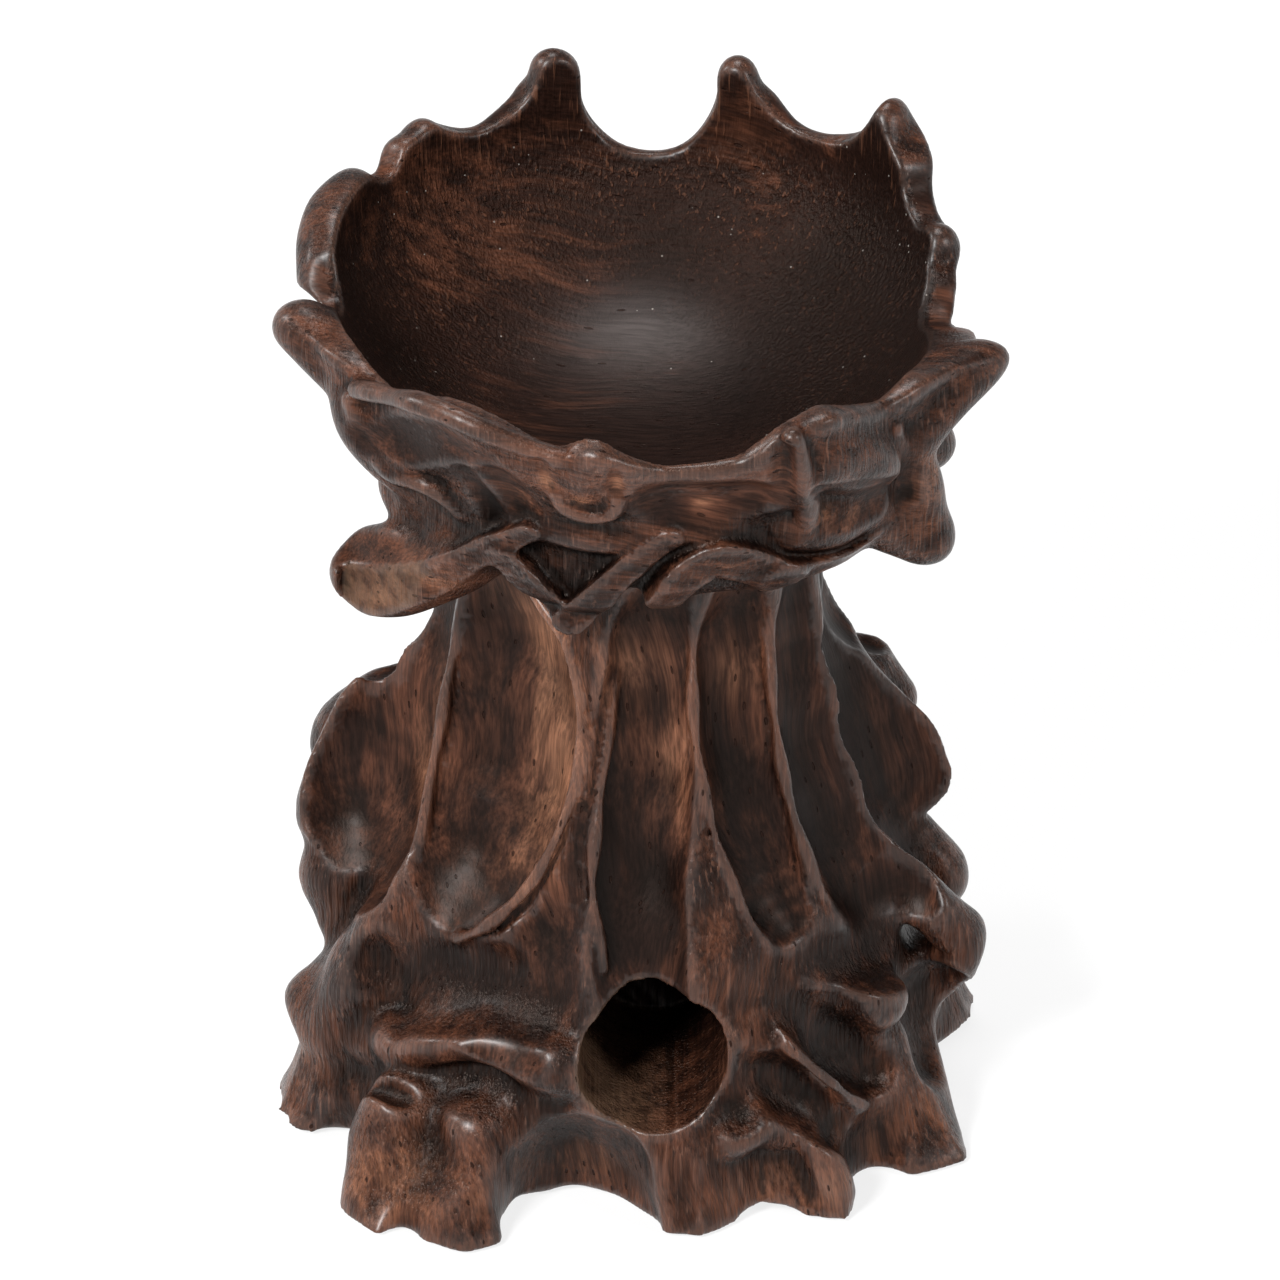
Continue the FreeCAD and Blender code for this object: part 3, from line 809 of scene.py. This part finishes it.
def carveRoots(block, setup):
    for blend, rows in rootLimbs:
        addLimb(block, rows, blend)
    for angle, height, size in backKnuckles:
        knuckle = ((angle, height + 3, size, 1.5), (angle, height, size, 4.0))
        raiseRidge(block, trunkSurface, knuckle, blend=2.0)
    for angle, deepest, gouge, top in toeScoops:
        outside = deepest + gouge
        foot, middle = (angle, outside, -2, gouge), (angle, outside, top * 0.4, gouge)
        cutGouge(block, (foot, middle, (angle, outside + gouge * 0.6, top, gouge)), blend=0.8, polish=0.6)
    for blend, rows in rootFolds:
        raiseRidge(block, trunkSurface, rows, blend)
    for cell, depth, seed in setup["gnarls"]:
        gnarl(block, cell, depth, seed, setup["gnarlHeights"])


def scrapeTrunk(block, setup):
    for rows in trunkFlutes:
        cutSpoon(block, trunkSurface, rows)
    for angle in backFlutes:
        cutSpoon(block, trunkSurface, turnRows(angle, backFlute))
    for rows in rootScoops:
        cutSpoon(block, trunkSurface, rows, blend=1.0, polish=0.5)
    for blend, rows in rootGouges:
        cutGouge(block, rows, blend, polish=0.5)
    for rows in trunkRibs:
        raiseRidge(block, trunkSurface, rows, blend=0.6)
    unevenHand(block, setup["handWave"])


def boreHoles(block, setup):
    x, y, z = block["x"], block["y"], block["z"]
    holeRadius, holeEnd = setup["tenonHole"]
    softCut(block, whole, np.maximum(block["around"] - holeRadius, holeEnd - z), blend=0.05)
    socketX, socketHeight, socketRadius, socketEnd = setup["socket"]
    drill = np.sqrt((x - socketX) ** 2 + (z - socketHeight) ** 2) - socketRadius
    softCut(block, whole, np.maximum(drill, y - socketEnd), blend=0.25, polish=0.0)
    feltRadius, feltReach, feltTop = setup["feltHole"]
    for angle in setup["feltAngles"]:
        feltX, feltY, _ = pointAt(angle, feltReach, feltTop)
        ring = np.sqrt((x - feltX) ** 2 + (y - feltY) ** 2)
        softCut(block, whole, np.maximum(ring - feltRadius, z - feltTop), blend=0.05)


def carvePedestal(setup):
    block = carveBlock(setup["low"], setup["high"], setup["voxel"])
    z, underside = block["z"], setup["ground"] - block["z"]
    wall = block["around"] - trunkSurface(block["degrees"], z)
    block["field"] = np.maximum(wall, underside).astype(np.float32)
    carveRoots(block, setup)
    scrapeTrunk(block, setup)
    block["field"] = np.maximum(block["field"], np.maximum(underside, z - setup["seat"]))
    boreHoles(block, setup)
    piece = meshFromBlock(block, "rootPedestal", trunkWood, setup["triangles"])
    markCarving(piece, block)
    points = pointsOf(piece)
    # stains of the wood, with painted shade in hollows and on the flute at the right, and painted light on
    # lit faces of the left flutes and the toes
    writeMark(piece, "stainAndPaintedLight", stainAndLightAround(points, trunkStainsAndPaintedLight))
    # lighter wood on the left wall of the socket only, where the light reaches: partly raw wood, partly a
    # painted pool of light
    socketX, socketHeight, socketRadius, socketEnd = setup["socket"]
    skin, rightEnd, softEdge = setup["socketRawAndLight"]
    deep = np.hypot(points[:, 0] - socketX, points[:, 2] - socketHeight) - socketRadius
    inSocket = np.clip(1.0 - np.abs(deep) / skin, 0.0, 1.0) * (points[:, 1] < socketEnd + skin)
    writeMark(piece, "rawWoodAndLight", inSocket * np.clip((socketX + rightEnd - points[:, 0]) / softEdge, 0.0, 1.0))
    return piece


rootPedestal = carvePedestal(trunk)
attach(rootPedestal, "root")
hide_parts("root_pedestal")


# Crown bowl

crown = {
    "voxel": 0.36,
    "triangles": 185000,
    "low": (-38.0, -36.0, 53.0),
    "high": (38.5, 36.5, 102.0),
    "seat": 70.0,
    "profile": (
        (54, 20.4), (70, 20.4), (71.5, 22.5), (74, 24.6), (78, 26.6), (82, 28.2),
        (86, 29.8), (90, 31.2), (94, 32.2), (100, 33.0),
    ),
    "bowl": (30.2, 20.0, 95.0),  # radius, depth, height of its mouth
    "glossyFloor": (5.0, 11.0, 9.0),  # y of its middle, radius, width of its soft edge
    "tenon": (9.0, 54.0),  # radius, lowest point
    "dishSkin": 0.02,  # how near its surface the dish begins, as a share of its size
    "dullSkin": 0.6,  # how far under the dish its polish is taken down
    "flareFrom": 78.0,  # height at which the wall begins to lean out to the rim
    "neckClear": 20.7,  # the straps stay outside this radius, where the trunk stands
    "softTips": 7,  # rounds of smoothing that blunt the teeth
    "scallopEnds": (24.0, 42.0),  # radius at which the cuts through the rim begin and end
    "gnarls": ((7.0, 0.4, 21),),
    "gnarlHeights": (60.0, 66.0, 99.0, 105.0),
    "handWave": 0.06,
    # place, facing and size of the left horn's flat end
    "sawnEnd": ((217, 29.8, 66.6), (-0.66, -0.75, 0.06), 7.0),
    "sawnRaw": (0.7, 0.2),  # how raw that end is, and its skin
}

# the rim before the scallops are cut: angle, reach beyond the turned wall, height
rimLine = (
    (0, 2.6, 87.6), (8, 1.6, 88.4), (14, 2.2, 90), (20, 2.8, 90.6), (26, 2.2, 93.2), (32, 3, 97),
    (39, 3, 98.5), (46, 2.2, 97.5), (55, 0.8, 97), (66, 1.2, 97.5), (72, 1.6, 98), (78, 1, 97.5),
    (88, 0.4, 97), (99, 1, 97.5), (106, 1.6, 98.4), (114, 1.6, 98), (121, 0.8, 97), (131, 1.6, 96),
    (140, 1.6, 96), (146, 1.2, 95.6), (152, 2, 94.6), (160, 2.2, 94.8), (170, 1.2, 93.4), (178, 0.8, 91.6),
    (192, 2.8, 92.4), (207, 1, 92.4), (220, 0, 91), (231, 0.6, 93.2), (238, 0.8, 94), (244, 0.6, 93.4),
    (251, 0, 91.4), (257, 0, 90.8), (263, 0.6, 91.6), (268, 0.3, 90.4), (274, -0.5, 89.4), (282, -0.6, 89.2),
    (289, -0.3, 89.4), (296, 0.8, 92.6), (304, 1.2, 93.4), (312, 0.8, 92), (321, -0.2, 90), (330, 1.2, 91),
    (340, 2.6, 90.2), (347, 3.4, 88.8),
)

# round cuts through the rim: angle, floor, radius
scallops = (
    (4, 87, 4.2), (25.5, 92.6, 3), (55.5, 94.9, 7.8), (88.3, 90.6, 6.7), (121.5, 95.3, 6.6),
    (145.2, 94.6, 2.6), (180.5, 89.8, 3.8),
)

# flutes on the outside of the back wall: their angles, then angle, height, half width, depth of one
backWallFlutes = (4, 30.5, 56.5, 88.3, 121.5, 145.3, 178)
backWallFlute = ((0, 87, 2.4, 0.5), (0, 83, 2.8, 0.7), (0, 79.5, 2.2, 0.5))

# teeth of the rim, and limbs of the collar: blend, then angle, radius, height, brush
teeth = (
    (1.0, ((20, 29.5, 87, 3.2), (19.5, 31, 91, 2.6))),
    (1.0, ((38, 29.6, 92, 4), (41, 31.2, 96, 3.8), (42, 32.2, 98.8, 3.3))),
    (0.8, ((73, 30.6, 94, 3.2), (72, 31.6, 98.8, 2.4))),
    (0.8, ((107, 30.6, 94, 3.4), (106, 31.4, 99.2, 2.6))),
    (1.0, ((134.5, 30, 90.5, 3.8), (133, 31.8, 95.4, 2.8))),
    (1.0, ((140, 30, 91.5, 3), (138.5, 31.6, 95, 2.5))),
    (1.0, ((150, 31.6, 93.4, 3.2), (157, 31.8, 93.2, 3.5), (167, 31, 91.4, 3.6), (175, 29.8, 88.4, 3.2))),
    (1.0, ((199, 27.6, 86.5, 3.6), (194, 31.4, 89.6, 3.4), (190.5, 33.3, 91.2, 3.1))),
    (1.0, ((336, 28.6, 83.6, 3.8), (341, 31, 86.6, 3.4), (344.5, 33.6, 88.2, 2.8), (346.5, 35.6, 88.9, 1.5))),
)
crownLimbs = (
    (1.5, ((210, 28, 86.5, 3.6), (217, 27.4, 86, 4.4), (226, 27.4, 88, 4.4), (236, 27.6, 89.5, 3.8),
        (246, 27.8, 89, 3))),
    (2.0, ((216, 22.6, 77, 4.8), (206, 23.6, 76.5, 4.4))),
    (1.2, ((330, 27, 84, 3), (335, 28.5, 78, 3.2), (339, 29.7, 70.5, 3))),
    (1.2, ((322, 25, 76.5, 3), (331, 27.5, 73, 2.8), (338.5, 29.7, 70.2, 2.8))),
    (1.5, ((232, 22.6, 76, 4.2), (221, 24.4, 71, 4.2), (212, 27, 68.4, 4.4), (206, 28.7, 67.2, 4.4))),
    (1.5, ((203, 29, 88.5, 3.4), (206, 29.6, 86, 3.6), (209, 28.6, 83.2, 3.4), (212, 26.6, 80.4, 3.2))),
    (1.5, ((246, 22.4, 75.6, 3.4), (256, 22.8, 73.8, 3.6), (265, 23.2, 75.8, 3.4))),
    (1.5, ((278, 22.4, 73, 3), (288, 22.6, 74, 3.4), (298, 22.6, 73.2, 3.2))),
    (1.5, ((302, 22.4, 74, 3), (316, 23.2, 74, 3.2), (329, 23.6, 74.6, 3))),
    (0.8, ((260.5, 28.2, 90.5, 2.8), (260.2, 28.9, 88.8, 2.4), (259.6, 28.9, 86.6, 1.6))),
    (1.0, ((299, 27.8, 85.5, 4), (305, 28.6, 87.4, 4.2), (313, 28.4, 85.6, 4), (321, 27.6, 83, 3.8))),
    (1.0, ((304, 26, 78.5, 3.2), (312, 26.4, 78, 3.4), (322, 26.4, 77.5, 3.2))),
)

# horns at the back: their angles, then one of them
backHorns = (15, 60, 105, 150)
backHorn = ((0, 24, 77, 4.5), (0, 27.5, 72, 4), (0, 29.8, 69.5, 2.8))

# flat straps of the knot under the bowl: blend, then angle, height, half width, rise
crownBands = (
    (0.8, ((242, 75.4, 1.5, 2.2), (245.5, 73.4, 1.9, 3.2), (249.4, 71.4, 1.8, 4.2), (253, 69.4, 1.4, 4.8))),
    (0.8, ((276, 80, 1, 0.8), (270, 77.6, 1.3, 1.5), (264.2, 74.4, 1.5, 2.9), (259, 71.4, 1.5, 4.6),
        (254.4, 68.8, 1.4, 5.6))),
    (1.0, ((275, 72, 1.6, 4), (280.7, 75.7, 2.2, 2.5), (285.8, 77, 2.3, 2.2), (293.4, 75.3, 2.2, 2.6),
        (301, 72.2, 1.9, 4))),
    (1.0, ((300, 73, 1.9, 3.4), (312, 72, 2.1, 4.2), (322, 72, 2.1, 4.4), (330, 73.2, 1.7, 3.6))),
    (1.2, ((217, 68.6, 1.6, 8.4), (223, 70.6, 1.6, 7), (229.5, 72.9, 1.6, 4.6), (238, 76.3, 1.4, 2.4),
        (247.6, 79.8, 1.1, 1.4))),
)

# rolled edges and folds of the collar: blend, then angle, height, brush, rise
crownRidges = (
    (0.8, ((212, 90.4, 1, 1.2), (220, 92, 1, 1.5), (230, 93.8, 1.1, 1.6), (239, 93.8, 1.1, 1.4),
        (248, 91.6, 1, 0.9), (255, 90.2, 0.9, 0.5))),
    (0.8, ((209.5, 88.4, 1, 1.6), (212, 84.8, 1.1, 2.4), (216, 81.8, 1.1, 2.8), (222, 82, 1.1, 2.3),
        (227, 81.2, 0.9, 1.6), (230, 79, 0.8, 0.8))),
    (0.8, ((254.5, 85.4, 0.7, 0.4), (255.5, 83.8, 0.8, 0.7), (260, 82.8, 0.8, 0.8), (264.5, 83.4, 0.8, 0.7),
        (266, 85.2, 0.7, 0.4))),
    (0.6, ((296.5, 92, 1.1, 1), (298.4, 89, 1.1, 1.6), (301.3, 84.3, 1.1, 2), (305, 79.4, 1.1, 2),
        (308, 76.6, 1, 1.6))),
    (0.7, ((303.5, 82, 1, 1.9), (305, 78.6, 1.1, 2.2), (311, 76, 1.1, 2.2), (319, 75, 1.1, 2.2),
        (328, 75.8, 1, 1.6))),
    (1.5, ((246, 80.4, 1.2, 0.8), (256, 79.4, 1.2, 0.9), (266, 79.2, 1.2, 0.8), (276, 80.4, 1.2, 0.7),
        (287, 79.4, 1.2, 0.6), (298, 76.2, 1.1, 0.6))),
    (0.7, ((324, 86.5, 0.9, 1.2), (329, 81.2, 0.9, 1.6), (332, 77, 1, 1.6))),
)

# scraped hollows of the collar: blend, then angle, height, half width, depth
crownScoops = (
    (0.6, ((236.5, 85.5, 1.4, 0.5), (238.8, 81.5, 1.6, 0.8), (240, 78.6, 1.2, 0.5))),
    (0.6, ((243, 86, 2, 0.5), (245.5, 83, 2.2, 0.7), (246.5, 81, 1.6, 0.4))),
    (0.6, ((273, 85, 2.4, 0.9), (281, 84, 3.2, 1.2), (290.5, 84, 2.6, 1))),
)

# deep cuts between the limbs: blend, then angle, radius, height, brush
crownGouges = (
    (0.4, ((184, 34.9, 74.8, 5.2), (195, 34.5, 74.4, 5.8), (207, 34.4, 74.2, 6.2), (219, 33.2, 75.4, 5.6),
        (228, 31.4, 77.4, 3.6))),
    (0.5, ((215, 35.4, 84.6, 4.4), (223, 35.6, 86.2, 5.6), (232, 35.8, 87.8, 5.2), (241, 35, 88, 4))),
    (0.4, ((252.6, 32.4, 89.2, 1.4), (253.6, 31.2, 86.4, 1.4))),
    (0.4, ((266, 32.2, 89, 1.4), (265.6, 31, 86.6, 1.3))),
    (0.4, ((309, 32.8, 79.4, 3.6), (314.5, 33.2, 79, 4), (321, 32.8, 78.6, 3.6))),
    (0.4, ((302.5, 32.4, 84.6, 1), (312, 32.4, 82.8, 1.2), (322, 31.6, 81.2, 1))),
    (0.8, ((294.4, 32.8, 90.5, 1.3), (296, 31.2, 84, 1.5), (299.2, 29.4, 77.8, 1.5))),
    (0.8, ((323.2, 33.2, 86.8, 1.4), (326.6, 32, 82, 1.5), (328.6, 30.6, 77.6, 1.4))),
)

# lighter and darker patches: stains of the wood with painted light and shade on the outside as on the trunk,
# then x, y, half width, amount of painted shade in the dish
crownStainsAndPaintedLight = (
    (226, 87, 5, 3.2, -1), (259, 85, 1.2, 1, 0.5), (253, 87.5, 1, 1.6, 0.6), (266, 87.5, 0.8, 1.6, 0.5),
    (307.5, 80.5, 1.4, 1.8, 0.8), (246, 84, 3, 3, 0.3), (225, 71, 4, 3, 0.4), (343, 88, 2.5, 2, 0.6),
    (288, 76, 4, 1.4, 0.4), (282, 83.5, 1.8, 1.2, 0.6), (335, 78, 3, 6, 0.5), (314, 78.5, 3, 2, 0.5),
    (238.5, 81, 1, 3, -0.8), (214, 67, 3, 3, 0.5), (258, 75, 3, 2, -0.2), (276, 84, 2, 4, -0.6),
)
dishPaintedShade = (
    (2, 23, 8, -0.9), (20, 16, 8, -1.2), (-26, 2, 8, -1.3), (0, -4, 14, -0.6), (14, 6, 11, -1),
    (26, 2, 10, -1.8), (0, 10, 20, -0.3),
)


def crownSurface(angle, height):
    reach, top = aroundValue(rimLine, 1, angle), aroundValue(rimLine, 2, angle)
    flare = np.clip((height - crown["flareFrom"]) / (top - crown["flareFrom"]), 0.0, 1.0) ** 1.5
    return profileRadius(crown["profile"], height) + reach * flare


def carveRim(block, setup):
    inner, outer = setup["scallopEnds"]
    for blend, rows in teeth + crownLimbs:
        addLimb(block, rows, blend)
    for angle in backHorns:
        addLimb(block, turnRows(angle, backHorn), blend=1.5)
    for cell, depth, seed in setup["gnarls"]:
        gnarl(block, cell, depth, seed, setup["gnarlHeights"])
    for angle, floor, radius in scallops:
        middle = floor + radius
        cutGouge(block, ((angle, inner, middle, radius), (angle, outer, middle - 0.5, radius)), blend=0.4)
    soften(block, setup["softTips"])


def carveCollar(block, setup):
    for angle in backWallFlutes:
        cutSpoon(block, crownSurface, turnRows(angle, backWallFlute), blend=0.6, lean=1.0)
    for blend, rows in crownRidges:
        raiseRidge(block, crownSurface, rows, blend)
    for blend, rows in crownScoops:
        cutSpoon(block, crownSurface, rows, blend, lean=1.0)
    for blend, rows in crownBands:
        raiseBand(block, crownSurface, rows, blend, polish=0.4, clear=setup["neckClear"])
    for blend, rows in crownGouges:
        cutGouge(block, rows, blend)
    cutFacet(block, *setup["sawnEnd"])
    unevenHand(block, setup["handWave"])


def turnBowl(block, setup):
    around, z = block["around"], block["z"]
    tenonRadius, tenonEnd = setup["tenon"]
    tenon = np.maximum(around - tenonRadius, np.maximum(tenonEnd - z, z - setup["seat"] - 3.0))
    softJoin(block, whole, tenon.astype(np.float32), blend=0.05)
    bowlRadius, bowlDepth, mouth = setup["bowl"]
    sunk = np.minimum((z - mouth) / bowlDepth, 0.0)
    hollow = (np.sqrt((around / bowlRadius) ** 2 + sunk**2) - 1.0) * bowlDepth
    softCut(block, whole, hollow.astype(np.float32), blend=0.3)
    middleY, glossRadius, softEdge = setup["glossyFloor"]
    dull = np.clip((np.hypot(block["x"], block["y"] - middleY) - glossRadius) / softEdge, 0.0, 1.0)
    # only the floor of the dish is rubbed to a gloss
    block["polish"] *= 1.0 - dull * (hollow < setup["dullSkin"])


def carveCrown(setup):
    block = carveBlock(setup["low"], setup["high"], setup["voxel"])
    degrees, z = block["degrees"], block["z"]
    wall = block["around"] - crownSurface(degrees, z)
    aboveRim = z - aroundValue(rimLine, 2, degrees)
    block["field"] = np.maximum(np.maximum(wall, aboveRim), setup["seat"] - z).astype(np.float32)
    carveRim(block, setup)
    carveCollar(block, setup)
    turnBowl(block, setup)
    piece = meshFromBlock(block, "crownBowl", crownWood, setup["triangles"])
    markCarving(piece, block)
    points = pointsOf(piece)
    bowlRadius, bowlDepth, mouth = setup["bowl"]
    reach = np.hypot(points[:, 0], points[:, 1]) / bowlRadius
    sunk = np.minimum((points[:, 2] - mouth) / bowlDepth, 0.0)
    inDish = np.abs(np.sqrt(reach**2 + sunk**2) - 1.0) < setup["dishSkin"]
    writeMark(piece, "dish", inDish)
    centre, facing, size = setup["sawnEnd"]
    fromEnd = points - np.array(pointAt(*centre))
    aside = np.abs(fromEnd @ np.array(Vector(facing).normalized()))
    rawWoodAndLight, skin = setup["sawnRaw"]
    sawn = np.clip(1.5 - aside / skin, 0.0, 1.0) * (np.linalg.norm(fromEnd, axis=1) < size)
    writeMark(piece, "rawWoodAndLight", rawWoodAndLight * sawn)
    # stains with painted light and shade on the outside; in the dish only painted shade, darkest on the side
    # and far walls
    stainsAndPaintedLight = np.where(inDish, paintedShadeAcross(points, dishPaintedShade), stainAndLightAround(points, crownStainsAndPaintedLight))
    writeMark(piece, "stainAndPaintedLight", stainsAndPaintedLight)
    return piece


crownBowl = carveCrown(crown)
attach(crownBowl, "root")
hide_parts("crown_bowl")


# Felt feet

feltFeet = {
    "radius": 3.5,
    "thickness": 1.2,
    "sides": 48,
    "seed": 5,
    "colours": ((0.06, 0.053, 0.05, 1.0), (0.13, 0.115, 0.105, 1.0)),
    "napHeight": 0.2,
    "roughness": 0.95,
    "shine": 0.1,
}


def makeFelt(setup):
    material, bench = newMaterial("pressedFelt")
    nap = bench.noise(bench.placeInMm(), 3.0, 3.0, 0.6)
    colour = bench.blend(bench.span(nap, 0.3, 0.7), *setup["colours"])
    bump = bench.bump(bench.times(nap, setup["napHeight"]))
    shader = bench.add("BsdfPrincipled", {"Base Color": colour, "Normal": bump})
    bench.fill(shader, {"Roughness": setup["roughness"], "Specular IOR Level": setup["shine"]})
    bench.add("OutputMaterial", {"Surface": shader.outputs[0]})
    return material


def makeFeetGroup(sides):
    # a felt disc at each point, turned at random about its axis
    tree = bpy.data.node_groups.new("setFeltFeet", "GeometryNodeTree")
    sockets = {"Places": "Geometry", "Radius": "Float", "Thickness": "Float", "Seed": "Int"}
    sockets["Felt"] = "Material"
    for label, kind in sockets.items():
        tree.interface.new_socket(label, in_out="INPUT", socket_type="NodeSocket" + kind)
    tree.interface.new_socket("Feet", in_out="OUTPUT", socket_type="NodeSocketGeometry")
    nodes = tree.nodes
    given, out = nodes.new("NodeGroupInput").outputs, nodes.new("NodeGroupOutput").inputs
    disc = nodes.new("GeometryNodeMeshCylinder")
    disc.inputs["Vertices"].default_value = sides
    turn = nodes.new("FunctionNodeRandomValue")
    turn.data_type = "FLOAT_VECTOR"
    turn.inputs["Min"].default_value = (0.0, 0.0, 0.0)
    turn.inputs["Max"].default_value = (0.0, 0.0, math.tau)
    place = nodes.new("GeometryNodeInstanceOnPoints")
    real = nodes.new("GeometryNodeRealizeInstances")
    cover = nodes.new("GeometryNodeSetMaterial")
    for source, target in (
        (given["Radius"], disc.inputs["Radius"]), (given["Thickness"], disc.inputs["Depth"]),
        (given["Seed"], turn.inputs["Seed"]), (given["Places"], place.inputs["Points"]),
        (disc.outputs["Mesh"], place.inputs["Instance"]), (turn.outputs["Value"], place.inputs["Rotation"]),
        (place.outputs[0], real.inputs[0]), (real.outputs[0], cover.inputs["Geometry"]),
        (given["Felt"], cover.inputs["Material"]), (cover.outputs[0], out["Feet"]),
    ):
        tree.links.new(source, target)
    return tree


def layFeet(setup):
    reach, middle = trunk["feltHole"][1] * mm, setup["thickness"] / 2 * mm
    mesh = bpy.data.meshes.new("feltFeet")
    mesh.from_pydata([pointAt(angle, reach, middle) for angle in trunk["feltAngles"]], [], [])
    piece = addToScene("feltFeet", mesh)
    layer = piece.modifiers.new("setFeltFeet", "NODES")
    layer.node_group = makeFeetGroup(setup["sides"])
    given = {"Radius": setup["radius"] * mm, "Thickness": setup["thickness"] * mm}
    given.update({"Seed": setup["seed"], "Felt": makeFelt(setup)})
    for socket in layer.node_group.interface.items_tree:
        if socket.name in given:
            layer[socket.identifier] = given[socket.name]
    feet = bakeModifiers(piece)
    print("felt feet laid:", len(feet.polygons), "faces")
    return piece


feltDiscs = layFeet(feltFeet)
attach(feltDiscs, "root")
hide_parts(*["felt_foot_%d" % number for number in range(1, 6)])
